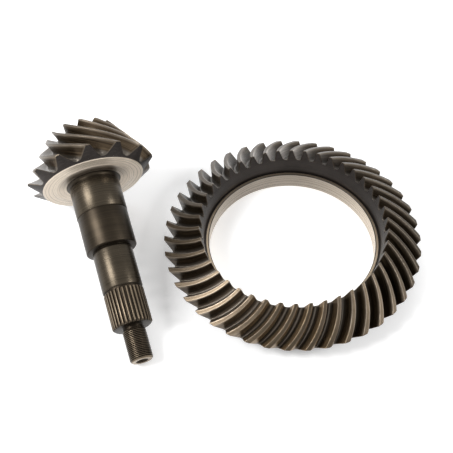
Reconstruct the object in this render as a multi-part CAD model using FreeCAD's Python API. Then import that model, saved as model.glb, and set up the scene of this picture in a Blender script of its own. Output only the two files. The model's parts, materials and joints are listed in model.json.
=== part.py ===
"""Final drive gear set: a hypoid ring gear lying on its back face and the loose
pinion that goes with it, lying beside it on its tooth tips and its thread end.

Two pieces, each one forging: ring_gear and pinion.
Lengths in millimetres. The ring's axis is the Z axis and its back face is Z = 0.
Flanks and tooth ends are laid in flat facets that stay within about two tenths
of the swept form. Every seat, bore and journal is a true cylinder.
"""
import FreeCAD
import Part
import math
import os

os.makedirs("parts", exist_ok=True)

# Ring gear blank
RING_TIP_R = 115.0
RING_HEEL_Z = 19.5
RING_FACE_DEG = 35.8
RING_FACE_W = 39.4
RING_BODY_W = 40.5
RING_BORE_R = RING_TIP_R - RING_BODY_W
RING_BORE_H = 16.6
RING_BORE_BEVEL = 0.7
RING_LEDGE_W = 3.0
RING_GROOVE_W = 1.1
RING_GROOVE_D = 0.8
RING_TOE_LEAN_DEG = 14.3
RING_BACK_CHAMFER = 1.2

# Ring gear teeth
RING_TEETH = 42
RING_TOE_DEPTH = 9.5
RING_HEEL_DEPTH = 12.5
RING_TOE_SPIRAL = 15.0
RING_HEEL_SPIRAL = 41.0
RING_TOE_LAND = 3.0
RING_HEEL_LAND = 4.0
RING_PRESSURE_DEG = 18.0
RING_TURN_DEG = 4.2
RING_STRIPS = 5

# Tapped holes in the ring's back
BOLT_COUNT = 12
BOLT_INSET = 13.0
BOLT_CIRCLE_R = RING_BORE_R + BOLT_INSET
BOLT_HOLE_R = 5.4
BOLT_DEPTH = 14.0

# Pinion head
HEAD_TIP_R = 57.2
HEAD_TOE_R = 30.5
HEAD_LEN = 40.0
NOSE_R = 18.5
NOSE_Z = -36.0
NOSE_SINK_R = 3.5
BACK_R = 45.4
BACK_Z = 9.5
BOSS_R = 34.0
BOSS_H = 0.5

# Pinion teeth
HEAD_TEETH = 13
HEAD_TOE_DEPTH = 9.0
HEAD_HEEL_DEPTH = 12.5
HEAD_TOE_SPIRAL = 44.0
HEAD_HEEL_SPIRAL = 60.0
HEAD_TOE_LAND = 1.8
HEAD_HEEL_LAND = 2.6
HEAD_PRESSURE_DEG = 20.0
HEAD_STRIPS = 9

# Pinion shaft, stations measured from the heel tips towards the thread
NECK_R = 21.9
NECK_CHAMFER = 1.8
JOURNAL_R = 22.5
JOURNAL_Z0 = 14.6
JOURNAL_Z1 = 42.0
BODY_R = 22.2
BODY_Z1 = 76.0
SEAT_R = 17.5
SEAT_Z1 = 114.0
SEAT_CHAMFER = 0.5
UNDERCUT_W = 2.0
UNDERCUT_D = 0.4
RELIEF_W = 1.6
SPLINE_TEETH = 30
SPLINE_R = 17.4
SPLINE_DEPTH = 1.6
SPLINE_Z1 = 147.7
THREAD_R = 10.0
THREAD_NECK_R = 8.9
THREAD_NECK_W = 2.8
THREAD_Z1 = 178.0
THREAD_CHAMFER = 1.5
CENTRE_R = 5.2

# Where the pinion lies
PINION_X = -180.0
PINION_Y = 46.0
PINION_AZIMUTH_DEG = 17.2

# Derived ring sizes
ring_a = math.radians(RING_FACE_DEG)
ring_toe_r = RING_TIP_R - RING_FACE_W * math.cos(ring_a)
ring_toe_z = RING_HEEL_Z + RING_FACE_W * math.sin(ring_a)
ring_lean = math.tan(math.radians(RING_TOE_LEAN_DEG))
ledge_z = RING_BORE_H + RING_BORE_BEVEL
ledge_r = RING_BORE_R + RING_BORE_BEVEL + RING_LEDGE_W

# Derived pinion sizes
head_g = math.atan2(HEAD_TIP_R - HEAD_TOE_R, HEAD_LEN)
boss_z = BACK_Z + BOSS_H


def polar(r, turn, z):
    return FreeCAD.Vector(r * math.cos(turn), r * math.sin(turn), z)


def revolve(points):
    """Solid of revolution about Z of a closed outline of (radius, height)."""
    corners = [FreeCAD.Vector(r, 0, z) for r, z in points]
    face = Part.Face(Part.makePolygon(corners + corners[:1]))
    return face.revolve(FreeCAD.Vector(0, 0, 0), FreeCAD.Vector(0, 0, 1), 360)


def turned_about(shape, count):
    """Copies of a shape, evenly spaced about Z."""
    copies = []
    for i in range(count):
        one = shape.copy()
        one.rotate(FreeCAD.Vector(0, 0, 0), FreeCAD.Vector(0, 0, 1), 360.0 * i / count)
        copies.append(one)
    return copies


def skin(rows):
    """Solid through rows of points about the Z axis, closed flat at the first and last row."""
    n = len(rows[0])
    points = [FreeCAD.Vector(0, 0, rows[0][0].z), FreeCAD.Vector(0, 0, rows[-1][0].z)]
    for row in rows:
        points.extend(row)
    facets = []
    for k in range(n):
        j = (k + 1) % n
        facets.append((0, 2 + j, 2 + k))
        for i in range(len(rows) - 1):
            low = 2 + i * n
            high = low + n
            facets.append((low + k, low + j, high + j))
            facets.append((low + k, high + j, high + k))
        facets.append((1, high + k, high + j))
    shell = Part.Shape()
    shell.makeShapeFromMesh((points, facets), 1e-5)
    solid = Part.makeSolid(shell).removeSplitter()
    return solid if solid.Volume > 0 else solid.reversed()


def root_of(func, low, high):
    """Argument at which a function changes sign, by halving the span."""
    sign = func(low) > 0
    for _ in range(40):
        mid = (low + high) / 2
        if (func(mid) > 0) == sign:
            low = mid
        else:
            high = mid
    return (low + high) / 2


class Teeth:
    """Lengthwise curved teeth on a face cone: flat lands, straight flanks, narrow flat roots.

    A place s along the tooth runs from 0 at the toe to 1 at the heel.
    """

    def __init__(self, toe, heel, normal, count, spiral, land, depth, pressure, start):
        self.toe = toe
        self.heel = heel
        self.normal = normal
        self.count = count
        self.spiral = spiral
        self.land = land
        self.depth = depth
        self.pressure = math.radians(pressure)
        self.start = start
        self.width = math.hypot(heel[0] - toe[0], heel[1] - toe[1])

    def mix(self, pair, s):
        return pair[0] + (pair[1] - pair[0]) * s

    def psi(self, s):
        """Spiral angle at s, in radians."""
        return math.radians(self.mix(self.spiral, s))

    def station(self, s, depth):
        """Radius and height at s, a given depth under the face cone."""
        r = self.mix((self.toe[0], self.heel[0]), s) - depth * self.normal[0]
        z = self.mix((self.toe[1], self.heel[1]), s) - depth * self.normal[1]
        return r, z

    def twist(self, s):
        """Turn of the gap's middle at s, in radians."""
        steps = 60
        total = 0.0
        for i in range(steps):
            m = s + (1.0 - s) * (i + 0.5) / steps
            total += math.tan(self.psi(m)) * self.width / self.station(m, 0)[0]
        return self.start + total * (1.0 - s) / steps

    def corner(self, s, side, deep):
        """Turn, radius and height of a corner of the gap: on the land, or with deep at the root."""
        pitch = 2 * math.pi * self.station(s, 0)[0] / self.count
        half = (pitch - self.mix(self.land, s) / math.cos(self.psi(s))) / 2
        depth = 0.0
        if deep:
            depth = self.mix(self.depth, s)
            half = max(half - depth * math.tan(self.pressure) / math.cos(self.psi(s)), 0.3)
        r, z = self.station(s, depth)
        return self.twist(s) + side * half / r, r, z

    def outline(self, land_s, root_s):
        """Corners of all the teeth, with the lands at one place and the roots at another."""
        gap = [(land_s, -1, False), (root_s, -1, True), (root_s, 1, True), (land_s, 1, False)]
        corners = [self.corner(*place) for place in gap]
        pitch = 2 * math.pi / self.count
        return [(t + i * pitch, r, z) for i in range(self.count) for t, r, z in corners]

    def row(self, land_s, root_s):
        return [polar(r, turn, z) for turn, r, z in self.outline(land_s, root_s)]

    def ring_row(self, land_s, root_s, r, z):
        """Circle of points at the same turns as the corners of a row."""
        return [polar(r, turn, z) for turn, _, _ in self.outline(land_s, root_s)]

    def rows(self, strips, root_toe):
        """Rows of corners from toe to heel, the roots starting at root_toe."""
        return [self.row(i / strips, root_toe + (1 - root_toe) * i / strips) for i in range(strips + 1)]


ring_teeth = Teeth(
    (ring_toe_r, ring_toe_z),
    (RING_TIP_R, RING_HEEL_Z),
    (math.sin(ring_a), math.cos(ring_a)),
    RING_TEETH,
    (RING_TOE_SPIRAL, RING_HEEL_SPIRAL),
    (RING_TOE_LAND, RING_HEEL_LAND),
    (RING_TOE_DEPTH, RING_HEEL_DEPTH),
    RING_PRESSURE_DEG,
    math.radians(RING_TURN_DEG),
)
head_teeth = Teeth(
    (HEAD_TOE_R, -HEAD_LEN),
    (HEAD_TIP_R, 0.0),
    (math.cos(head_g), -math.sin(head_g)),
    HEAD_TEETH,
    (HEAD_TOE_SPIRAL, HEAD_HEEL_SPIRAL),
    (HEAD_TOE_LAND, HEAD_HEEL_LAND),
    (HEAD_TOE_DEPTH, HEAD_HEEL_DEPTH),
    HEAD_PRESSURE_DEG,
    math.pi,
)


def ring_root_toe():
    """Place at which the roots run out of the leaning toe end."""

    def out(s):
        r, z = ring_teeth.station(s, ring_teeth.mix(ring_teeth.depth, s))
        return r - ring_toe_r + (ring_toe_z - z) * ring_lean

    return root_of(out, 0.0, 0.6)


def toothed_ring():
    """Ring with its teeth as a solid disc: ledge, inner cone, toe end, teeth, back cone."""
    root_toe = ring_root_toe()
    band_z = ring_toe_z - RING_TOE_DEPTH * 1.1
    band_r = ring_toe_r - (ring_toe_z - band_z) * ring_lean
    rim_r = RING_TIP_R - (RING_HEEL_Z - RING_BACK_CHAMFER) * math.tan(ring_a)
    rows = [
        ring_teeth.ring_row(0, root_toe, ledge_r, ledge_z),
        ring_teeth.ring_row(0, root_toe, band_r, band_z),
    ]
    rows += ring_teeth.rows(RING_STRIPS, root_toe)
    rows += [
        ring_teeth.ring_row(1, 1, rim_r, RING_BACK_CHAMFER),
        ring_teeth.ring_row(1, 1, rim_r - RING_BACK_CHAMFER, 0),
    ]
    return skin(rows)


def ring_bore():
    """Pilot bore with its bevel, open at both ends."""
    bevel_r = RING_BORE_R + RING_BORE_BEVEL
    return revolve([
        (0, -1),
        (RING_BORE_R, -1),
        (RING_BORE_R, RING_BORE_H),
        (bevel_r, ledge_z),
        (bevel_r, ledge_z + 1),
        (0, ledge_z + 1),
    ])


def ledge_groove():
    """Undercut groove at the foot of the inner cone, sloping down from the ledge."""
    outer_r = ledge_r - 0.15
    inner_r = outer_r - RING_GROOVE_W
    low_z = ledge_z - RING_GROOVE_D
    return revolve([(inner_r, ledge_z), (outer_r, low_z), (outer_r, ledge_z + 0.1), (inner_r, ledge_z + 0.1)])


def bolt_holes():
    """Blind tapped holes from the back face."""
    turn = math.pi / BOLT_COUNT
    first = Part.makeCylinder(BOLT_HOLE_R, BOLT_DEPTH + 1, polar(BOLT_CIRCLE_R, turn, -1))
    return turned_about(first, BOLT_COUNT)


def make_ring():
    """Ring gear in place, lying on its back face."""
    return toothed_ring().cut([ring_bore(), ledge_groove()] + bolt_holes())


def pinion_head():
    """Pinion head: nose, toe end, teeth, heel end and flat back face."""
    nose_r, nose_z = head_teeth.station(0, HEAD_TOE_DEPTH * 1.3)
    back_r, back_z = head_teeth.station(1, HEAD_HEEL_DEPTH * 1.08)
    rows = [head_teeth.ring_row(0, 0, NOSE_R, NOSE_Z), head_teeth.ring_row(0, 0, nose_r, nose_z)]
    rows += head_teeth.rows(HEAD_STRIPS, 0)
    rows += [head_teeth.ring_row(1, 1, back_r, back_z), head_teeth.ring_row(1, 1, BACK_R, BACK_Z)]
    return skin(rows)


def nose_centre():
    """Centre hole in the nose."""
    sink = NOSE_SINK_R / math.tan(math.radians(30))
    return revolve([(0, NOSE_Z - 1), (NOSE_SINK_R, NOSE_Z - 1), (NOSE_SINK_R, NOSE_Z), (0, NOSE_Z + sink)])


def pinion_shaft():
    """Turned shaft from inside the head to the thread end, with its centre hole."""
    relief_r = SPLINE_R - SPLINE_DEPTH
    neck_z1 = SPLINE_Z1 + THREAD_NECK_W
    cone_z = THREAD_Z1 - CENTRE_R / math.tan(math.radians(30))
    return revolve([
        (0, 0),
        (BOSS_R - 4, 0),
        (BOSS_R, BACK_Z),
        (BOSS_R - BOSS_H, boss_z),
        (NECK_R + NECK_CHAMFER, boss_z),
        (NECK_R, boss_z + NECK_CHAMFER),
        (NECK_R, JOURNAL_Z0 - (JOURNAL_R - NECK_R)),
        (JOURNAL_R, JOURNAL_Z0),
        (JOURNAL_R, JOURNAL_Z1),
        (BODY_R, JOURNAL_Z1 + (JOURNAL_R - BODY_R)),
        (BODY_R, BODY_Z1),
        (SEAT_R - UNDERCUT_D, BODY_Z1),
        (SEAT_R - UNDERCUT_D, BODY_Z1 + UNDERCUT_W - UNDERCUT_D),
        (SEAT_R, BODY_Z1 + UNDERCUT_W),
        (SEAT_R, SEAT_Z1 - SEAT_CHAMFER),
        (SEAT_R - SEAT_CHAMFER, SEAT_Z1),
        (relief_r, SEAT_Z1),
        (relief_r, SEAT_Z1 + RELIEF_W),
        (SPLINE_R, SEAT_Z1 + RELIEF_W),
        (SPLINE_R, SPLINE_Z1),
        (THREAD_NECK_R, SPLINE_Z1),
        (THREAD_NECK_R, neck_z1),
        (THREAD_R, neck_z1 + (THREAD_R - THREAD_NECK_R)),
        (THREAD_R, THREAD_Z1 - THREAD_CHAMFER),
        (THREAD_R - THREAD_CHAMFER, THREAD_Z1),
        (CENTRE_R, THREAD_Z1),
        (0, cone_z),
    ])


def spline_gaps():
    """Straight slots between the spline teeth, run out at the relief groove."""
    pitch = 2 * math.pi * SPLINE_R / SPLINE_TEETH
    top = 0.34 * pitch
    low = 0.13 * pitch
    floor_r = SPLINE_R - SPLINE_DEPTH
    over = 0.6
    out = top + (top - low) * over / SPLINE_DEPTH
    z0 = SEAT_Z1 + 0.5 * RELIEF_W
    corners = [(SPLINE_R + over, -out), (floor_r, -low), (floor_r, low), (SPLINE_R + over, out)]
    pts = [FreeCAD.Vector(x, y, z0) for x, y in corners]
    slot = Part.Face(Part.makePolygon(pts + pts[:1])).extrude(FreeCAD.Vector(0, 0, SPLINE_Z1 - z0 + 1))
    return turned_about(slot, SPLINE_TEETH)


def height_over_axis(p, roll, lie):
    """Height of a point of the head over the ring's plane, less that of the axis origin."""
    return (p.x * math.cos(roll) - p.y * math.sin(roll)) * math.cos(lie) - p.z * math.sin(lie)


def settle(body):
    """Roll, lie angle and axis height at which two teeth and the thread end touch the ground."""
    low = [v.Point for v in body.Vertexes if v.Point.z < BACK_Z and v.Point.x < 0]
    sides = ([p for p in low if p.y > 0], [p for p in low if p.y < 0])
    spots = [
        (THREAD_R, THREAD_Z1 - THREAD_CHAMFER),
        (SPLINE_R, SPLINE_Z1),
        (BODY_R, BODY_Z1),
    ]

    def lowest(points, roll, lie):
        return min(height_over_axis(p, roll, lie) for p in points)

    def rolled(lie):
        return root_of(lambda r: lowest(sides[0], r, lie) - lowest(sides[1], r, lie), -0.1, 0.1)

    def tail_gap(lie):
        tail = min(-r * math.cos(lie) - z * math.sin(lie) for r, z in spots)
        return tail - lowest(low, rolled(lie), lie)

    lie = root_of(tail_gap, 0.02, 0.6)
    roll = rolled(lie)
    return roll, lie, -lowest(low, roll, lie)


def make_pinion():
    """Pinion in place, lying on two tooth corners of the head and on the thread end."""
    body = pinion_head().fuse(pinion_shaft()).cut([nose_centre()] + spline_gaps())
    roll, lie, axis_z = settle(body)
    body.rotate(FreeCAD.Vector(0, 0, 0), FreeCAD.Vector(0, 0, 1), math.degrees(roll))
    az = math.radians(PINION_AZIMUTH_DEG)
    d = FreeCAD.Vector(math.sin(az) * math.cos(lie), -math.cos(az) * math.cos(lie), -math.sin(lie))
    u = d.cross(FreeCAD.Vector(0, 0, 1))
    u.normalize()
    v = u.cross(d)
    place = FreeCAD.Matrix(
        v.x, u.x, d.x, PINION_X,
        v.y, u.y, d.y, PINION_Y,
        v.z, u.z, d.z, axis_z,
        0, 0, 0, 1,
    )
    print("pinion roll %.3f deg, lie %.3f deg, axis height %.3f" % (math.degrees(roll), math.degrees(lie), axis_z))
    print("pinion axis", tuple(round(c, 6) for c in d))
    return body.transformShape(place, True)


def single(shape):
    """The one solid of a shape that is meant to be one piece."""
    solids = shape.Solids
    if len(solids) != 1:
        raise ValueError("expected one solid, got %d" % len(solids))
    return solids[0]


for name, shape in (("ring_gear", make_ring()), ("pinion", make_pinion())):
    piece = single(shape)
    piece.exportStep("parts/" + name + ".step")
    box = piece.BoundBox
    print(name, "faces", len(piece.Faces), "volume", round(piece.Volume), "valid", piece.isValid())
    print("  x %.1f %.1f  y %.1f %.1f  z %.2f %.2f" % (box.XMin, box.XMax, box.YMin, box.YMax, box.ZMin, box.ZMax))
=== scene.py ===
"""Looks of a ring and pinion gear set: a hypoid ring gear lying on its back and the
loose pinion beside it, both dressed with finer meshes of the same forms as the frame.

Sizes are in millimetres and become metres where a mesh is made.
"""
import math

import bmesh
import bpy
from mathutils import Matrix, Vector
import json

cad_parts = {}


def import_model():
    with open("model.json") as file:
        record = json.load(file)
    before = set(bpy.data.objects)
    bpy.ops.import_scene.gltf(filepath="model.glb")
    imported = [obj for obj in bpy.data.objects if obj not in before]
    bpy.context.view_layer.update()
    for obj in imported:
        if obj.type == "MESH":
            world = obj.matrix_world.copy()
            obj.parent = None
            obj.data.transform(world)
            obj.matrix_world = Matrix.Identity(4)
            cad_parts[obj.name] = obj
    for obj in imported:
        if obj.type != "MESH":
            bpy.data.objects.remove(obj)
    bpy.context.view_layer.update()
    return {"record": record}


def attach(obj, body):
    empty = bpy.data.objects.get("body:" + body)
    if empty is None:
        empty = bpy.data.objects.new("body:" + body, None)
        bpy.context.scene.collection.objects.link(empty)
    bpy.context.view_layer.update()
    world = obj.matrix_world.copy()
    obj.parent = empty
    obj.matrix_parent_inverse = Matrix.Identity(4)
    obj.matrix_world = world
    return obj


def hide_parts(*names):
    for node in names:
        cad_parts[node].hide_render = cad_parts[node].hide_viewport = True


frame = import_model()

MM = 0.001
TAU = 2 * math.pi

# Ring gear, as in the frame
RING_TIP_R = 115.0
RING_HEEL_Z = 19.5
RING_FACE_DEG = 35.8
RING_FACE_W = 39.4
RING_BORE_R = 74.5
RING_BORE_H = 16.6
RING_BORE_BEVEL = 0.7
RING_LEDGE_W = 3.0
RING_LEDGE_GROOVE_W = 1.1
RING_LEDGE_GROOVE_D = 0.8
RING_TOE_LEAN_DEG = 14.3
RING_BACK_CHAMFER = 1.2
RING_TEETH = 42
RING_TURN_DEG = 4.2
RING_PRESSURE_DEG = 18.0
BOLT_COUNT = 12
BOLT_CIRCLE_R = 87.5
BOLT_HOLE_R = 5.4
BOLT_DEPTH = 14.0
BOLT_SINK = 0.8

# Pinion head, as in the frame
HEAD_TIP_R = 57.2
HEAD_TOE_R = 30.5
HEAD_LEN = 40.0
NOSE_R = 18.5
NOSE_Z = -36.0
NOSE_SINK_R = 3.5
BACK_R = 45.4
BACK_Z = 9.5
BACK_CHAMFER = 0.6
BOSS_R = 34.0
BOSS_H = 0.5
HEAD_TEETH = 13
HEAD_PRESSURE_DEG = 20.0

# Pinion shaft, stations from the heel tips towards the thread
NECK_R = 21.9
NECK_FILLET = 2.5
JOURNAL_R = 22.5
JOURNAL_Z0 = 14.6
JOURNAL_Z1 = 42.0
BODY_R = 22.2
BODY_Z1 = 76.0
SEAT_R = 17.5
SEAT_Z1 = 114.0
RELIEF_W = 1.6
SPLINE_TEETH = 30
SPLINE_R = 17.4
SPLINE_DEPTH = 1.6
SPLINE_Z1 = 147.7
SPLINE_CHAMFER = 1.5
THREAD_R = 10.0
THREAD_NECK_R = 8.9
THREAD_NECK_W = 2.8
THREAD_Z1 = 178.0
THREAD_CHAMFER = 1.5
THREAD_PITCH = 1.5
THREAD_DEPTH = 0.9
CENTRE_R = 5.2
CENTRE_DRILL_R = 1.6
CENTRE_DRILL_L = 4.0

# Edge breaks and mesh density
EDGE_ROUND = 0.45
END_BREAK = 0.5
RING_ROWS = 22
HEAD_ROWS = 40
ROUND_COLUMNS = 390
THREAD_SHARE = 5
FLANK_COLUMNS = 16
SHARP_DEG = 38

# Places in the list of materials
RING_TOOTH, DARK, PALE, SHAFT, JOURNAL, END, HEAD_TOOTH, BORE = range(8)

ring_a = math.radians(RING_FACE_DEG)
ring_toe = (RING_TIP_R - RING_FACE_W * math.cos(ring_a), RING_HEEL_Z + RING_FACE_W * math.sin(ring_a))
head_g = math.atan2(HEAD_TIP_R - HEAD_TOE_R, HEAD_LEN)


class Teeth:
    """Lengthwise curved teeth on a face cone, as columns of one tooth pitch."""

    def __init__(self, toe, heel, normal, count, spiral, land, depth, pressure):
        self.toe = toe
        self.heel = heel
        self.normal = normal
        self.count = count
        self.spiral = spiral
        self.land = land
        self.depth = depth
        self.pressure = math.radians(pressure)
        self.width = math.hypot(heel[0] - toe[0], heel[1] - toe[1])
        self.turns = {}

    def mix(self, pair, s):
        return pair[0] + (pair[1] - pair[0]) * s

    def radius(self, s):
        return self.mix((self.toe[0], self.heel[0]), s)

    def height(self, s):
        return self.mix((self.toe[1], self.heel[1]), s)

    def psi(self, s):
        return math.radians(self.mix(self.spiral, s))

    def twist(self, s):
        """Turn of the gap at s measured from the heel, in radians."""
        key = round(s, 6)
        if key not in self.turns:
            steps = 24
            total = 0.0
            for i in range(steps):
                m = s + (1.0 - s) * (i + 0.5) / steps
                total += math.tan(self.psi(m)) * self.width / self.radius(m)
            self.turns[key] = total * (1.0 - s) / steps
        return self.turns[key]

    def profile(self, s):
        """Right half of a gap at s, from the root's middle to the land's middle.

        Each point is (x, h): x runs round the axis, h is the height over the face cone.
        """
        pitch = TAU * self.radius(s) / self.count
        x_face = (pitch - self.mix(self.land, s) / math.cos(self.psi(s))) / 2
        tan_t = math.tan(self.pressure) / math.cos(self.psi(s))
        slant = math.atan(tan_t)
        depth = self.mix(self.depth, s)
        b = max(x_face - depth * tan_t, 0.3)
        rho = b * math.cos(slant) / (1 - math.sin(slant))
        points = []
        for i in range(4):
            a = (math.pi / 2 - slant) * i / 4
            points.append((rho * math.sin(a), -depth + rho * (1 - math.cos(a))))
        low = (rho * math.cos(slant), -depth + rho * (1 - math.sin(slant)))
        e = EDGE_ROUND
        top = (x_face - e * math.sin(slant), -e * math.cos(slant))
        for i in range(5):
            t = i / 5
            points.append((self.mix((low[0], top[0]), t), self.mix((low[1], top[1]), t)))
        for i in range(4):
            t = i / 4
            x = (1 - t) ** 2 * top[0] + 2 * t * (1 - t) * x_face + t * t * (x_face + e)
            points.append((x, (1 - t) ** 2 * top[1]))
        edge = x_face + e
        points.extend((edge + (pitch / 2 - edge) * t / 3, 0.0) for t in range(4))
        return points

    def columns(self):
        """Signed column numbers of one pitch, from land centre over the root to the next land."""
        return list(range(-FLANK_COLUMNS, FLANK_COLUMNS))

    def point(self, s, start, column):
        """Place of a column's point at s, in the gear's own frame."""
        x, h = self.profile(s)[abs(column)]
        out = self.radius(s) + h * self.normal[0]
        turn = start + self.twist(s) + math.copysign(x, column) / out
        return Vector((out * math.cos(turn), out * math.sin(turn), self.height(s) + h * self.normal[1]))

    def across(self, s, column):
        """Distance along the profile from the root centre, for the machining lines."""
        x, h = self.profile(s)[abs(column)]
        length = x + h + self.mix(self.depth, s)
        return length if column >= 0 else -length


class Shell:
    """Mesh of closed rings of points in the gear's own frame, with its surface attributes."""

    def __init__(self):
        self.verts = []
        self.faces = []
        self.slots = []
        self.lines = []
        self.masks = []
        # Per-point masks for painted light and painted highlights on the teeth.
        self.painted_light = []

    def add(self, point, line, mask=(0.0, 0.0, 0.0), painted_light=(0.0, 0.0, 0.0)):
        self.verts.append(point)
        self.lines.append(line)
        self.masks.append(mask)
        self.painted_light.append(painted_light)
        return len(self.verts) - 1

    def band(self, low, high, slot):
        """Quads between two rings of the same count."""
        count = len(low)
        for i in range(count):
            j = (i + 1) % count
            self.face((low[i], low[j], high[j], high[i]), slot)

    def step_down(self, many, few, slot):
        """Triangles from a ring of many points to one whose count divides it."""
        ratio = len(many) // len(few)
        count = len(many)
        for k in range(len(few)):
            mid = k * ratio + ratio // 2
            for i in range(k * ratio, mid):
                self.face((many[i], many[(i + 1) % count], few[k]), slot)
            for i in range(mid, (k + 1) * ratio):
                self.face((many[i], many[(i + 1) % count], few[(k + 1) % len(few)]), slot)
            self.face((few[k], many[mid % count], few[(k + 1) % len(few)]), slot)

    def fan(self, ring, tip, slot):
        for i in range(len(ring)):
            self.face((ring[i], ring[(i + 1) % len(ring)], tip), slot)

    def face(self, ids, slot):
        self.faces.append(ids)
        self.slots.append(slot)

    def build(self, name, materials, place):
        """Object of the shell: metres, placed by the matrix, normals outwards, closed."""
        mesh = bpy.data.meshes.new(name)
        mesh.from_pydata([place @ (v * MM) for v in self.verts], [], self.faces)
        mesh.polygons.foreach_set("material_index", self.slots)
        line = mesh.attributes.new("line", "FLOAT_VECTOR", "POINT")
        line.data.foreach_set("vector", [c for item in self.lines for c in item])
        mask = mesh.attributes.new("mask", "FLOAT_VECTOR", "POINT")
        mask.data.foreach_set("vector", [c for item in self.masks for c in item])
        painted_light = mesh.attributes.new("painted_light", "FLOAT_VECTOR", "POINT")
        painted_light.data.foreach_set("vector", [c for item in self.painted_light for c in item])
        for material in materials:
            mesh.materials.append(material)
        bm = bmesh.new()
        bm.from_mesh(mesh)
        bmesh.ops.remove_doubles(bm, verts=bm.verts, dist=1e-7)
        bmesh.ops.recalc_face_normals(bm, faces=bm.faces)
        bm.to_mesh(mesh)
        bm.free()
        mesh.polygons.foreach_set("use_smooth", [True] * len(mesh.polygons))
        mesh.set_sharp_from_angle(angle=math.radians(SHARP_DEG))
        obj = bpy.data.objects.new(name, mesh)
        bpy.context.collection.objects.link(obj)
        return obj


def end_s(teeth, start, column, side, shift, low, high):
    """s at which a column, moved inwards by shift, crosses an end surface, where side turns positive."""
    for _ in range(22):
        mid = (low + high) / 2
        if side(teeth.point(mid, start, column) + shift) > 0:
            high = mid
        else:
            low = mid
    return (low + high) / 2


def tooth_field(shell, teeth, start, rows, toe_side, heel_side, slot):
    """Grid of the whole toothed face; gives its toe and heel rings of points."""
    columns = teeth.columns()
    count = len(columns)
    grid = [[None] * count for _ in range(rows + 2)]
    info = [[None] * count for _ in range(rows + 2)]
    zero = Vector((0, 0, 0))
    for c, column in enumerate(columns):
        s0 = end_s(teeth, start, column, toe_side, zero, -0.3, 0.5)
        s1 = end_s(teeth, start, column, heel_side, zero, 0.5, 1.3)
        step = END_BREAK / teeth.width
        for row in range(rows):
            s = s0 + step + (s1 - s0 - 2 * step) * row / (rows - 1)
            grid[row + 1][c] = teeth.point(s, start, column)
            info[row + 1][c] = s
        for end, s, way in ((0, s0, 1), (rows + 1, s1, -1)):
            near = teeth.point(s + way * 0.01, start, column)
            here = teeth.point(s, start, column)
            right = teeth.point(s, start, column + 1)
            left = teeth.point(s, start, column - 1) if c else here - (right - here)
            normal = (near - here).cross(right - left) * way
            normal.normalize()
            if normal.dot(Vector((here.x, here.y, 0)).normalized() * teeth.normal[0]
                          + Vector((0, 0, teeth.normal[1]))) < 0:
                normal = -normal
            shift = -normal * END_BREAK
            if end:
                s_end = end_s(teeth, start, column, heel_side, shift, 0.5, 1.3)
            else:
                s_end = end_s(teeth, start, column, toe_side, shift, -0.3, 0.5)
            grid[end][c] = teeth.point(s_end, start, column) + shift
            info[end][c] = s_end
    rings = [[] for _ in range(rows + 2)]
    for tooth in range(teeth.count):
        turn = Matrix.Rotation(TAU * tooth / teeth.count, 3, "Z")
        for row in range(rows + 2):
            s = info[row]
            for c, column in enumerate(columns):
                k = abs(column)
                land = 1.0 if k >= 13 else (0.5 if k == 12 else 0.0)
                edge = 1.0 if 9 <= k <= 13 else 0.0
                if row in (0, rows + 1):
                    edge = max(edge, 0.6)
                root = 1.0 if k <= 4 else 0.0
                seed = tooth * 7.31 + (3.7 if column < 0 else 0.0)
                line = (s[c] * teeth.width, teeth.across(s[c], column), seed)
                # Masks for painted light: the flanks' toe ends for a painted highlight, and the flanks for
                # painted light at the front.
                toe_highlight = max(0.0, 1.0 - s[c] / 0.7) if column > 0 and 4 <= k <= 12 else 0.0
                flank = 1.0 if 6 <= k <= 11 else 0.0
                masks = ((land, edge, root), (toe_highlight, flank, 0.0))
                rings[row].append(shell.add(turn @ grid[row][c], line, *masks))
    for row in range(rows + 1):
        shell.band(rings[row], rings[row + 1], slot)
    return rings[0], rings[-1]


def angles_of(shell, ring):
    return [math.atan2(shell.verts[i].y, shell.verts[i].x) for i in ring]


def circle_like(shell, ring, r, z):
    """Circle whose points stand at the same angles as a given ring's."""
    ids = []
    for a in angles_of(shell, ring):
        ids.append(shell.add(Vector((r * math.cos(a), r * math.sin(a), z)), (r, z, 0.0)))
    return ids


def even_circle(shell, like, r, z, count=None):
    """Circle of even points, lined up with a ring's first point, by default as many."""
    first = angles_of(shell, like)[0]
    count = count or len(like)
    ids = []
    for i in range(count):
        a = first + TAU * i / count
        ids.append(shell.add(Vector((r * math.cos(a), r * math.sin(a), z)), (r, z, 0.0)))
    return ids


def lathe(shell, start, stations, slot):
    """Bands through (radius, height) or (radius, height, slot) stations; gives the last ring."""
    ring = start
    for item in stations:
        r, z = item[0], item[1]
        slot = item[2] if len(item) > 2 else slot
        new = even_circle(shell, ring, r, z)
        shell.band(ring, new, slot)
        ring = new
    return ring


def flat_fill(shell, outlines, slot):
    """Triangles that fill the plane between closed outlines of points."""
    bm = bmesh.new()
    index = {}
    edges = []
    for ring in outlines:
        verts = []
        for i in ring:
            v = bm.verts.new(shell.verts[i])
            index[v] = i
            verts.append(v)
        for i in range(len(verts)):
            edges.append(bm.edges.new((verts[i], verts[(i + 1) % len(verts)])))
    result = bmesh.ops.triangle_fill(bm, use_beauty=True, use_dissolve=False, edges=edges)
    for item in result["geom"]:
        if isinstance(item, bmesh.types.BMFace):
            shell.face(tuple(index[v] for v in item.verts), slot)
    bm.free()


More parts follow.
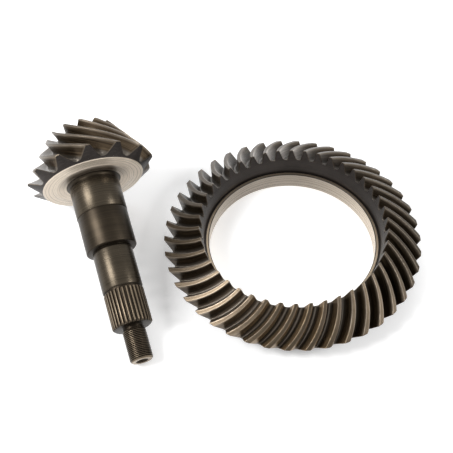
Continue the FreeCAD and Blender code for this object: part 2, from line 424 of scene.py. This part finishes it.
def bolt_hole(shell, angle, slot):
    """Blind hole from the back face; gives the outline at the face."""
    count = 40
    centre = Vector((BOLT_CIRCLE_R * math.cos(angle), BOLT_CIRCLE_R * math.sin(angle), 0))
    tip = BOLT_HOLE_R * math.tan(math.radians(31))
    rings = []
    for r, z in ((BOLT_HOLE_R + BOLT_SINK, 0), (BOLT_HOLE_R, BOLT_SINK), (BOLT_HOLE_R, BOLT_DEPTH)):
        ring = []
        for i in range(count):
            a = TAU * i / count
            ring.append(shell.add(centre + Vector((r * math.cos(a), r * math.sin(a), z)), (r, z, 0.0)))
        rings.append(ring)
    shell.band(rings[0], rings[1], slot)
    shell.band(rings[1], rings[2], slot)
    end = shell.add(centre + Vector((0, 0, BOLT_DEPTH + tip)), (0, BOLT_DEPTH, 0.0))
    shell.fan(rings[2], end, slot)
    return rings[0]


def ring_piece(materials):
    """Ring gear: toothed face, inner cone, ledge, bore, back face with its holes, back cone."""
    ca, sa = math.cos(ring_a), math.sin(ring_a)
    lean = math.tan(math.radians(RING_TOE_LEAN_DEG))
    toe_r, toe_z = ring_toe
    teeth = Teeth(ring_toe, (RING_TIP_R, RING_HEEL_Z), (sa, ca), RING_TEETH,
                  (15.0, 41.0), (3.0, 4.0), (9.5, 12.5), RING_PRESSURE_DEG)

    def toe_side(p):
        return math.hypot(p.x, p.y) - (toe_r - (toe_z - p.z) * lean)

    def heel_side(p):
        return (math.hypot(p.x, p.y) - RING_TIP_R) * ca - (p.z - RING_HEEL_Z) * sa

    shell = Shell()
    turn = math.radians(RING_TURN_DEG)
    toe, heel = tooth_field(shell, teeth, turn, RING_ROWS, toe_side, heel_side, RING_TOOTH)
    back = RING_BACK_CHAMFER
    drop = (RING_HEEL_Z - back) / ca
    rim_r = RING_TIP_R - drop * sa
    reach = 14.2
    under = circle_like(shell, heel, RING_TIP_R - reach * sa, RING_HEEL_Z - reach * ca)
    shell.band(heel, under, DARK)
    outer = lathe(shell, under, [
        (rim_r + 0.3 * sa, back + 0.3 * ca),
        (rim_r - 0.15, back - 0.25),
        (rim_r - back + 0.15, 0.2),
        (rim_r - back - 0.2, 0),
    ], DARK)
    band_z = toe_z - 9.5 * 1.1
    band_r = toe_r - (toe_z - band_z) * lean
    low = circle_like(shell, toe, band_r + 0.02, band_z + 0.1)
    shell.band(toe, low, DARK)
    ledge_z = RING_BORE_H + RING_BORE_BEVEL
    ledge_r0 = RING_BORE_R + RING_BORE_BEVEL
    ledge_r1 = ledge_r0 + RING_LEDGE_W
    groove_r = ledge_r1 - RING_LEDGE_GROOVE_W
    groove_z = ledge_z - RING_LEDGE_GROOVE_D
    inner = lathe(shell, low, [
        (band_r - 0.15, band_z - 0.3, DARK),
        (ledge_r1 + 0.25, groove_z + 0.9, DARK),
        (ledge_r1, groove_z, DARK),
        (groove_r + 0.1, groove_z, DARK),
        (groove_r, groove_z + 0.1, DARK),
        (groove_r, ledge_z - 0.15, DARK),
        (groove_r - 0.15, ledge_z, END),
        (ledge_r0 + 0.1, ledge_z, END),
        (RING_BORE_R + 0.05, RING_BORE_H + 0.05, DARK),
        (RING_BORE_R, RING_BORE_H - 0.2, BORE),
        (RING_BORE_R, 0.95, BORE),
        (RING_BORE_R + 0.1, 0.7, BORE),
        (RING_BORE_R + 0.7, 0.1, PALE),
        (RING_BORE_R + 0.9, 0, PALE),
    ], DARK)
    outlines = [outer, inner]
    for i in range(BOLT_COUNT):
        outlines.append(bolt_hole(shell, TAU * (i + 0.5) / BOLT_COUNT, DARK))
    flat_fill(shell, outlines, PALE)
    return shell.build("ring_gear_dressed", materials, Matrix.Identity(4))


def spline_radius(column, per_tooth):
    """Radius of the spline's outline at a column; slots stand at whole pitches."""
    pitch = TAU * SPLINE_R / SPLINE_TEETH
    x = ((column % per_tooth) / per_tooth - 0.5) * pitch
    x = pitch / 2 - abs(x)
    low = 0.13 * pitch
    top = 0.34 * pitch
    t = min(max((x - low) / (top - low), 0.0), 1.0)
    return SPLINE_R - SPLINE_DEPTH * (1 - t)


def spline_rings(shell, ring, slot):
    """Splines with their run-out at the relief groove and a chamfered end."""
    count = len(ring)
    per_tooth = count // SPLINE_TEETH
    first = angles_of(shell, ring)[0]
    floor = SPLINE_R - SPLINE_DEPTH + 0.5
    z0 = SEAT_Z1 + 0.5 * RELIEF_W
    end = SPLINE_Z1
    stations = [
        (z0, floor),
        (SEAT_Z1 + RELIEF_W, floor),
        (SEAT_Z1 + RELIEF_W + 0.5, SPLINE_R - 0.15),
        (SEAT_Z1 + RELIEF_W + 0.8, SPLINE_R),
        (end - SPLINE_CHAMFER - 0.2, SPLINE_R),
        (end - SPLINE_CHAMFER + 0.1, SPLINE_R - 0.1),
        (end - 0.1, SPLINE_R - SPLINE_CHAMFER + 0.05),
        (end, SPLINE_R - SPLINE_CHAMFER - 0.1),
    ]
    for z, limit in stations:
        new = []
        for i in range(count):
            r = min(spline_radius(i, per_tooth), limit)
            a = first + TAU * i / count
            crest = 1.0 if r > SPLINE_R - 0.2 else 0.0
            spot = Vector((r * math.cos(a), r * math.sin(a), z))
            new.append(shell.add(spot, (r, z, 0.0), (0.0, crest, 0.0)))
        shell.band(ring, new, slot)
        ring = new
    return ring


def thread_rings(shell, ring, slot):
    """Helical thread: rows follow the helix, so every crest is an edge line."""
    columns = len(ring)
    first = angles_of(shell, ring)[0]
    per_turn = 8
    z0 = SPLINE_Z1 + THREAD_NECK_W
    z1 = THREAD_Z1 - THREAD_PITCH - 0.1
    turns = int((z1 - z0) / THREAD_PITCH)
    wave = (0.0, 0.0, 0.25, 0.65, 1.0, 1.0, 0.65, 0.25)

    def vertex(row, k):
        z = z0 + THREAD_PITCH * (row / per_turn + k / columns)
        r = THREAD_R - THREAD_DEPTH * wave[row % per_turn]
        limit = min(THREAD_NECK_R + (z - z0) * 1.1, THREAD_R - THREAD_CHAMFER + (THREAD_Z1 - z))
        r = min(r, limit)
        a = first + TAU * k / columns
        crest = 1.0 if wave[row % per_turn] == 0.0 else 0.0
        return shell.add(Vector((r * math.cos(a), r * math.sin(a), z)), (r, z, 0.0), (0.0, crest, 0.0))

    total = turns * per_turn
    grid = [[vertex(row, k) for k in range(columns)] for row in range(total + per_turn + 1)]
    rows = total
    for row in range(rows):
        for k in range(columns):
            if k + 1 < columns:
                right = (grid[row][k + 1], grid[row + 1][k + 1])
            else:
                right = (grid[row + per_turn][0], grid[row + 1 + per_turn][0])
            shell.face((grid[row][k], right[0], right[1], grid[row + 1][k]), slot)
    low = grid[0] + [grid[per_turn][0]]
    for k in range(columns):
        shell.face((ring[k], ring[(k + 1) % columns], low[k + 1], low[k]), slot)
    for row in range(per_turn):
        shell.face((ring[0], grid[row][0], grid[row + 1][0]), slot)
    z_end = THREAD_Z1 - 0.25
    top = []
    for k in range(columns):
        a = first + TAU * k / columns
        r = THREAD_R - THREAD_CHAMFER + 0.2
        spot = Vector((r * math.cos(a), r * math.sin(a), z_end))
        top.append(shell.add(spot, (r, z_end, 0.0), (0.0, 1.0, 0.0)))
    high = grid[rows] + [grid[rows + per_turn][0]]
    for k in range(columns):
        shell.face((high[k], high[k + 1], top[(k + 1) % columns], top[k]), slot)
    for row in range(rows, rows + per_turn):
        shell.face((top[0], grid[row + 1][0], grid[row][0]), slot)
    return top


def pinion_place():
    """Matrix from the pinion's own frame to the object's, in metres, by its journal mount."""
    journal = next(m for m in frame["record"]["mounts"] if m["name"] == "inner_bearing_journal")
    d = Vector(journal["axis"]).normalized()
    origin = Vector(journal["pos_m"]) - d * ((JOURNAL_Z0 + JOURNAL_Z1) / 2 * MM)
    u = d.cross(Vector((0, 0, 1))).normalized()
    v = u.cross(d)
    return Matrix((
        (v.x, u.x, d.x, origin.x),
        (v.y, u.y, d.y, origin.y),
        (v.z, u.z, d.z, origin.z),
        (0, 0, 0, 1),
    ))


def pinion_piece(materials):
    """Pinion: toothed head, back face, stepped shaft, splines, thread and centre holes."""
    cg, sg = math.cos(head_g), math.sin(head_g)
    teeth = Teeth((HEAD_TOE_R, -HEAD_LEN), (HEAD_TIP_R, 0.0), (cg, -sg), HEAD_TEETH,
                  (44.0, 60.0), (1.8, 2.6), (9.0, 12.5), HEAD_PRESSURE_DEG)

    def toe_side(p):
        return (math.hypot(p.x, p.y) - HEAD_TOE_R) * sg + (p.z + HEAD_LEN) * cg

    def heel_side(p):
        return (math.hypot(p.x, p.y) - HEAD_TIP_R) * sg + p.z * cg

    shell = Shell()
    toe, heel = tooth_field(shell, teeth, math.pi, HEAD_ROWS, toe_side, heel_side, HEAD_TOOTH)
    toe_in = (HEAD_TOE_R - NOSE_R - 2.3) / cg
    heel_in = (HEAD_TIP_R - BACK_R - 0.6) / cg
    under = circle_like(shell, toe, HEAD_TOE_R - toe_in * cg, -HEAD_LEN + toe_in * sg)
    shell.band(toe, under, DARK)
    sink = NOSE_SINK_R / math.tan(math.radians(30))
    nose = lathe(shell, under, [
        (NOSE_R, NOSE_Z),
        (NOSE_SINK_R + 0.3, NOSE_Z),
        (NOSE_SINK_R, NOSE_Z + 0.3),
    ], DARK)
    shell.fan(nose, shell.add(Vector((0, 0, NOSE_Z + sink)), (0, 0, 0.0)), DARK)
    over = circle_like(shell, heel, HEAD_TIP_R - heel_in * cg, heel_in * sg)
    shell.band(heel, over, DARK)
    back = lathe(shell, over, [
        (BACK_R, BACK_Z - BACK_CHAMFER, DARK),
        (BACK_R - BACK_CHAMFER, BACK_Z - 0.05, PALE),
        (BACK_R - BACK_CHAMFER - 0.25, BACK_Z, PALE),
        (BOSS_R + 0.05, BACK_Z, PALE),
        (BOSS_R - 0.1, BACK_Z + 0.1, PALE),
        (BOSS_R - BOSS_H, BACK_Z + BOSS_H, PALE),
        (BOSS_R - BOSS_H - 0.4, BACK_Z + BOSS_H, PALE),
    ], DARK)
    boss_z = BACK_Z + BOSS_H
    ring = even_circle(shell, back, NECK_R + NECK_FILLET + 0.2, boss_z, ROUND_COLUMNS)
    flat_fill(shell, [back, ring], PALE)
    fillet = []
    for i in range(0, 7):
        a = math.pi / 2 * i / 6
        fillet.append((NECK_R + NECK_FILLET * (1 - math.sin(a)), boss_z + NECK_FILLET * (1 - math.cos(a))))
    stations = fillet + [
        (NECK_R, JOURNAL_Z0 - 0.5, SHAFT),
        (JOURNAL_R - 0.05, JOURNAL_Z0, JOURNAL),
        (JOURNAL_R, JOURNAL_Z0 + 0.3, JOURNAL),
        (JOURNAL_R, JOURNAL_Z1 - 0.2, JOURNAL),
        (JOURNAL_R - 0.15, JOURNAL_Z1, SHAFT),
        (BODY_R - 0.25, JOURNAL_Z1 + 0.3, SHAFT),
        (BODY_R - 0.25, JOURNAL_Z1 + 0.8, SHAFT),
        (BODY_R, JOURNAL_Z1 + 1.1, SHAFT),
        (BODY_R, BODY_Z1 - 1.0, SHAFT),
        (BODY_R - 0.15, BODY_Z1 - 0.6, SHAFT),
        (BODY_R - 0.7, BODY_Z1 - 0.1, SHAFT),
        (BODY_R - 0.95, BODY_Z1, SHAFT),
        (SEAT_R + 0.2, BODY_Z1, SHAFT),
        (SEAT_R - 0.4, BODY_Z1 + 0.3, SHAFT),
        (SEAT_R - 0.4, BODY_Z1 + 1.5, SHAFT),
        (SEAT_R - 0.05, BODY_Z1 + 1.95, JOURNAL),
        (SEAT_R, BODY_Z1 + 2.2, JOURNAL),
        (SEAT_R, SEAT_Z1 - 0.7, JOURNAL),
        (SEAT_R - 0.15, SEAT_Z1 - 0.35, JOURNAL),
        (SEAT_R - 0.5, SEAT_Z1, JOURNAL),
        (SPLINE_R - SPLINE_DEPTH + 0.6, SEAT_Z1, SHAFT),
        (SPLINE_R - SPLINE_DEPTH + 0.5, SEAT_Z1 + 0.1, SHAFT),
        (SPLINE_R - SPLINE_DEPTH + 0.5, SEAT_Z1 + 0.5 * RELIEF_W - 0.05, SHAFT),
    ]
    shaft = lathe(shell, ring, stations, SHAFT)
    shaft = spline_rings(shell, shaft, SHAFT)
    shaft = lathe(shell, shaft, [(THREAD_NECK_R + 0.9, SPLINE_Z1)], SHAFT)
    small = even_circle(shell, shaft, THREAD_NECK_R + 0.4, SPLINE_Z1, ROUND_COLUMNS // THREAD_SHARE)
    shell.step_down(shaft, small, SHAFT)
    small = lathe(shell, small, [
        (THREAD_NECK_R, SPLINE_Z1 + 0.35, SHAFT),
        (THREAD_NECK_R, SPLINE_Z1 + THREAD_NECK_W - 0.2, SHAFT),
    ], SHAFT)
    small = thread_rings(shell, small, SHAFT)
    end = THREAD_Z1
    cone = (CENTRE_R - CENTRE_DRILL_R) / math.tan(math.radians(30))
    small = lathe(shell, small, [
        (THREAD_R - THREAD_CHAMFER - 0.05, end, END),
        (CENTRE_R + 0.25, end, END),
        # The centre hole takes the dark shaft steel as painted shade in the recess.
        (CENTRE_R, end - 0.15, SHAFT),
        (CENTRE_DRILL_R, end - cone, SHAFT),
        (CENTRE_DRILL_R, end - cone - CENTRE_DRILL_L, SHAFT),
    ], END)
    shell.fan(small, shell.add(Vector((0, 0, end - cone - CENTRE_DRILL_L - 0.9)), (0, 0, 0.0)), SHAFT)
    return shell.build("pinion_dressed", materials, pinion_place())


class Nodes:
    """Small helper to write a node tree as expressions."""

    def __init__(self, name):
        self.material = bpy.data.materials.new(name)
        self.material.use_nodes = True
        self.tree = self.material.node_tree
        self.tree.nodes.clear()
        self.shader = self.tree.nodes.new("ShaderNodeBsdfPrincipled")
        out = self.tree.nodes.new("ShaderNodeOutputMaterial")
        self.link(self.shader.outputs[0], out.inputs[0])

    def link(self, a, b):
        self.tree.links.new(a, b)

    def put(self, socket, value):
        if isinstance(value, bpy.types.NodeSocket):
            self.link(value, socket)
        else:
            socket.default_value = value

    def attribute(self, name):
        node = self.tree.nodes.new("ShaderNodeAttribute")
        node.attribute_name = name
        return node.outputs["Vector"]

    def split(self, vector):
        node = self.tree.nodes.new("ShaderNodeSeparateXYZ")
        self.link(vector, node.inputs[0])
        return node.outputs

    def join(self, x, y, z):
        node = self.tree.nodes.new("ShaderNodeCombineXYZ")
        for socket, value in zip(node.inputs, (x, y, z)):
            self.put(socket, value)
        return node.outputs[0]

    def math(self, kind, a, b=0.0, c=0.0):
        node = self.tree.nodes.new("ShaderNodeMath")
        node.operation = kind
        for socket, value in zip(node.inputs, (a, b, c)):
            self.put(socket, value)
        return node.outputs[0]

    def noise(self, vector, scale, detail=3.0, rough=0.55):
        node = self.tree.nodes.new("ShaderNodeTexNoise")
        node.inputs["Scale"].default_value = scale
        node.inputs["Detail"].default_value = detail
        node.inputs["Roughness"].default_value = rough
        self.link(vector, node.inputs["Vector"])
        return node.outputs["Fac"]

    def ramp(self, value, low, high, to_low=0.0, to_high=1.0):
        node = self.tree.nodes.new("ShaderNodeMapRange")
        for socket, item in zip(node.inputs, (value, low, high, to_low, to_high)):
            self.put(socket, item)
        return node.outputs[0]

    def mix(self, factor, a, b):
        node = self.tree.nodes.new("ShaderNodeMix")
        node.data_type = "RGBA"
        self.put(node.inputs["Factor"], factor)
        self.put(node.inputs[6], a)
        self.put(node.inputs[7], b)
        return node.outputs[2]

    def bump(self, height, strength, distance):
        node = self.tree.nodes.new("ShaderNodeBump")
        node.inputs["Strength"].default_value = strength
        node.inputs["Distance"].default_value = distance
        self.link(height, node.inputs["Height"])
        self.link(node.outputs[0], self.shader.inputs["Normal"])

    def facing(self, x, y):
        """How far a place lies towards a direction from the ring's axis, from -1 to 1."""
        at = self.split(self.place())
        along = self.math("ADD", self.math("MULTIPLY", at[0], x), self.math("MULTIPLY", at[1], y))
        square = self.math("ADD", self.math("MULTIPLY", at[0], at[0]), self.math("MULTIPLY", at[1], at[1]))
        return self.math("DIVIDE", along, self.math("SQRT", square))

    def place(self):
        node = self.tree.nodes.new("ShaderNodeTexCoord")
        return node.outputs["Object"]


def colour(r, g, b):
    return (r, g, b, 1.0)


def tooth_steel(name, low, high):
    """Treated tooth surface: dark brown flanks with lengthwise cutter lines, tan edges rubbed bright.

    On the ring the tone is painted shade, going from low at the back right to high at the front left where
    the lamps fall; the front flanks carry painted light with their lands and edges painted darker, and
    those at the back left a painted highlight near the toe.
    """
    n = Nodes(name)
    line = n.split(n.attribute("line"))
    mask = n.split(n.attribute("mask"))
    along = n.math("MULTIPLY", line[0], 0.035)
    fine = n.noise(n.join(along, n.math("MULTIPLY", line[1], 1.6), line[2]), 1.0, 4.0, 0.6)
    broad = n.noise(n.join(along, n.math("MULTIPLY", line[1], 0.35), line[2]), 1.0, 2.0)
    cloud = n.noise(n.place(), 42.0, 4.0)
    dark = n.mix(n.ramp(cloud, 0.35, 0.7), colour(0.022, 0.014, 0.007), colour(0.055, 0.036, 0.019))
    streak = n.ramp(fine, 0.42, 0.68)
    body = n.mix(n.math("MULTIPLY", streak, 0.7), dark, colour(0.170, 0.119, 0.069))
    body = n.mix(n.ramp(broad, 0.5, 0.75, 0.0, 0.5), body, colour(0.200, 0.144, 0.088))
    land = n.math("MULTIPLY", mask[0], n.ramp(fine, 0.3, 0.65, 0.45, 0.95))
    body = n.mix(land, body, colour(0.140, 0.107, 0.072))
    edge = n.math("MULTIPLY", mask[1], n.ramp(cloud, 0.3, 0.6, 0.5, 1.0))
    body = n.mix(edge, body, colour(0.270, 0.220, 0.168))
    # Painted light: the roots are lightened to grey where the gaps catch the lamps.
    body = n.mix(n.math("MULTIPLY", mask[2], 0.8), body, colour(0.170, 0.150, 0.127))
    # Painted shade: the ring's teeth darken from the front left towards the back right, as the lamps fall.
    body = n.mix(n.ramp(n.facing(-0.50, -0.87), 0.1, 0.9, low, high), colour(0, 0, 0), body)
    painted_light = n.split(n.attribute("painted_light"))
    # Painted light on the ring's front flanks, with painted shade darkening the lands and edges there.
    front_painted_light = n.math("MULTIPLY", n.ramp(n.facing(-0.10, -0.99), 0.84, 0.97), 1.0 if high > low else 0.0)
    front_painted_shade = n.math("MULTIPLY", front_painted_light, n.math("MAXIMUM", mask[0], mask[1]))
    body = n.mix(n.math("MULTIPLY", front_painted_shade, 0.65), body, colour(0.034, 0.024, 0.014))
    lit = n.math("MULTIPLY", n.math("MULTIPLY", front_painted_light, painted_light[1]), n.ramp(fine, 0.38, 0.62, 0.1, 0.9))
    body = n.mix(lit, body, colour(0.420, 0.300, 0.175))
    # Painted highlight on the flanks at the back left, near the toe.
    toe_highlight = n.math("MULTIPLY", painted_light[0], n.ramp(n.facing(-0.50, 0.87), 0.72, 0.95))
    toe_highlight = n.math("MULTIPLY", toe_highlight, n.ramp(fine, 0.35, 0.6, 0.3, 1.0))
    body = n.mix(toe_highlight, body, colour(0.600, 0.550, 0.505))
    n.link(body, n.shader.inputs["Base Color"])
    n.link(n.ramp(toe_highlight, 0.0, 1.0, 0.8, 0.5), n.shader.inputs["Metallic"])
    n.link(n.ramp(fine, 0.3, 0.7, 0.27, 0.42), n.shader.inputs["Roughness"])
    n.bump(n.math("ADD", fine, n.math("MULTIPLY", broad, 0.5)), 0.35, 0.0004)
    return n.material


def turned_steel(name, dark, light, rough, strength=0.3, metallic=0.9, crest=None, back=1.0, neck_shade=None):
    """Turned surface: fine concentric lines, soft cloudy tone, crests rubbed bright.

    Back is the tone of painted shade at the far side of the ring's bore, and the last argument the colour
    of painted shade round the upper side of the pinion's neck.
    """
    n = Nodes(name)
    line = n.split(n.attribute("line"))
    close = n.join(n.math("MULTIPLY", line[0], 1.7), n.math("MULTIPLY", line[1], 1.7), 0.0)
    wide = n.join(n.math("MULTIPLY", line[0], 0.25), n.math("MULTIPLY", line[1], 0.25), 3.0)
    fine = n.noise(close, 1.0, 4.0, 0.65)
    broad = n.noise(wide, 1.0, 2.0)
    cloud = n.noise(n.place(), 30.0, 4.0)
    tone = n.math("ADD", n.math("MULTIPLY", fine, 0.45), n.math("MULTIPLY", broad, 0.3))
    tone = n.math("ADD", tone, n.math("MULTIPLY", cloud, 0.35))
    body = n.mix(n.ramp(tone, 0.35, 0.75), colour(*dark), colour(*light))
    if crest:
        rubbed = n.math("MULTIPLY", n.split(n.attribute("mask"))[1], n.ramp(cloud, 0.3, 0.6, 0.5, 1.0))
        body = n.mix(rubbed, body, colour(*crest))
    # Painted shade: the far side of the ring's bore darkened to the back tone.
    if back < 1.0:
        body = n.mix(n.ramp(n.facing(-0.20, 0.98), 0.1, 0.95, 1.0, back), colour(0, 0, 0), body)
    # Painted shade on the upper side of the pinion's back face, round the neck.
    if neck_shade:
        near = n.ramp(n.math("ADD", line[0], n.math("MULTIPLY", cloud, 3.0)), 30.0, 37.0, 1.0, 0.0)
        upper = n.ramp(n.split(n.place())[2], 0.050, 0.072)
        body = n.mix(n.math("MULTIPLY", n.math("MULTIPLY", near, upper), 0.9), body, colour(*neck_shade))
    n.link(body, n.shader.inputs["Base Color"])
    n.shader.inputs["Metallic"].default_value = metallic
    n.link(n.ramp(fine, 0.3, 0.7, rough[0], rough[1]), n.shader.inputs["Roughness"])
    n.bump(fine, strength, 0.0003)
    return n.material


def backdrop():
    """Pale floor that keeps the shadow, seen white by the camera."""
    n = Nodes("pale_floor")
    n.shader.inputs["Base Color"].default_value = colour(0.9, 0.9, 0.9)
    n.shader.inputs["Roughness"].default_value = 0.9
    n.shader.inputs["Emission Color"].default_value = colour(1, 1, 1)
    n.shader.inputs["Emission Strength"].default_value = 0.3
    bpy.ops.mesh.primitive_plane_add(size=6.0, location=(0, 0, -0.0005))
    floor = bpy.context.object
    floor.name = "floor"
    floor.data.materials.append(n.material)


def world(level, seen):
    """Plain light from all round; the camera, metal and glass see white."""
    w = bpy.data.worlds.new("studio")
    bpy.context.scene.world = w
    w.use_nodes = True
    tree = w.node_tree
    tree.nodes.clear()
    out = tree.nodes.new("ShaderNodeOutputWorld")
    path = tree.nodes.new("ShaderNodeLightPath")
    plain = tree.nodes.new("ShaderNodeBackground")
    plain.inputs["Color"].default_value = colour(1, 1, 1)
    plain.inputs["Strength"].default_value = level
    white = tree.nodes.new("ShaderNodeBackground")
    white.inputs["Color"].default_value = colour(1, 1, 1)
    white.inputs["Strength"].default_value = seen
    mix = tree.nodes.new("ShaderNodeMixShader")
    either = path.outputs["Is Camera Ray"]
    for ray in ("Is Glossy Ray", "Is Transmission Ray"):
        add = tree.nodes.new("ShaderNodeMath")
        add.operation = "MAXIMUM"
        tree.links.new(either, add.inputs[0])
        tree.links.new(path.outputs[ray], add.inputs[1])
        either = add.outputs[0]
    tree.links.new(either, mix.inputs[0])
    tree.links.new(plain.outputs[0], mix.inputs[1])
    tree.links.new(white.outputs[0], mix.inputs[2])
    tree.links.new(mix.outputs[0], out.inputs[0])


def softbox(name, place, aim, size, power):
    data = bpy.data.lights.new(name, "AREA")
    data.shape = "RECTANGLE"
    data.size = size[0]
    data.size_y = size[1]
    data.energy = power
    obj = bpy.data.objects.new(name, data)
    obj.location = place
    obj.rotation_euler = (Vector(aim) - Vector(place)).to_track_quat("-Z", "Y").to_euler()
    bpy.context.collection.objects.link(obj)


def camera():
    """The photograph's viewpoint."""
    data = bpy.data.cameras.new("photo_camera")
    data.sensor_width = 36.0
    data.lens = 79.5
    obj = bpy.data.objects.new("photo_camera", data)
    obj.location = (-0.0589, -0.5192, 0.7489)
    obj.rotation_euler = (math.radians(36.1), 0, 0)
    bpy.context.collection.objects.link(obj)
    bpy.context.scene.camera = obj


def save_sizes():
    import json


# In the order of RING_TOOTH to BORE
materials = [
    # Ring teeth, with painted light at the front left and painted shade at the back right.
    tooth_steel("ring_tooth_steel", 0.42, 1.0),
    turned_steel("turned_dark_steel", (0.013, 0.011, 0.010), (0.050, 0.043, 0.039), (0.32, 0.5)),
    # Pale ground steel, with painted shade round the pinion's neck.
    turned_steel("ground_pale_steel", (0.50, 0.42, 0.33), (0.74, 0.65, 0.54), (0.22, 0.38), 0.2, 0.5,
                 neck_shade=(0.055, 0.039, 0.025)),
    turned_steel("shaft_steel", (0.012, 0.009, 0.006), (0.042, 0.032, 0.021), (0.28, 0.45),
                 crest=(0.190, 0.148, 0.102)),
    turned_steel("journal_steel", (0.026, 0.021, 0.014), (0.070, 0.056, 0.040), (0.24, 0.36), 0.2),
    turned_steel("end_steel", (0.20, 0.155, 0.105), (0.42, 0.34, 0.25), (0.25, 0.4)),
    tooth_steel("pinion_tooth_steel", 0.62, 0.62),
    # Bore steel, with painted shade at the far side of the ring.
    turned_steel("bore_steel", (0.50, 0.42, 0.33), (0.74, 0.65, 0.54), (0.22, 0.38), 0.2, 0.5, back=0.42),
]

ring = ring_piece(materials)
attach(ring, "root")
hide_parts("ring_gear")

pinion = pinion_piece(materials)
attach(pinion, "root")
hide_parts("pinion")

backdrop()
world(0.35, 1.0)
softbox("left_box", (-0.95, -0.27, 0.95), (-0.05, 0, 0), (0.5, 0.5), 15.0)
softbox("right_box", (1.05, -0.20, 0.80), (0.05, 0, 0), (0.4, 0.4), 8.0)
softbox("back_box", (0.0, 1.2, 0.9), (0, 0, 0), (1.2, 0.5), 9.0)
camera()
bpy.context.scene.view_settings.view_transform = "Standard"

save_sizes()
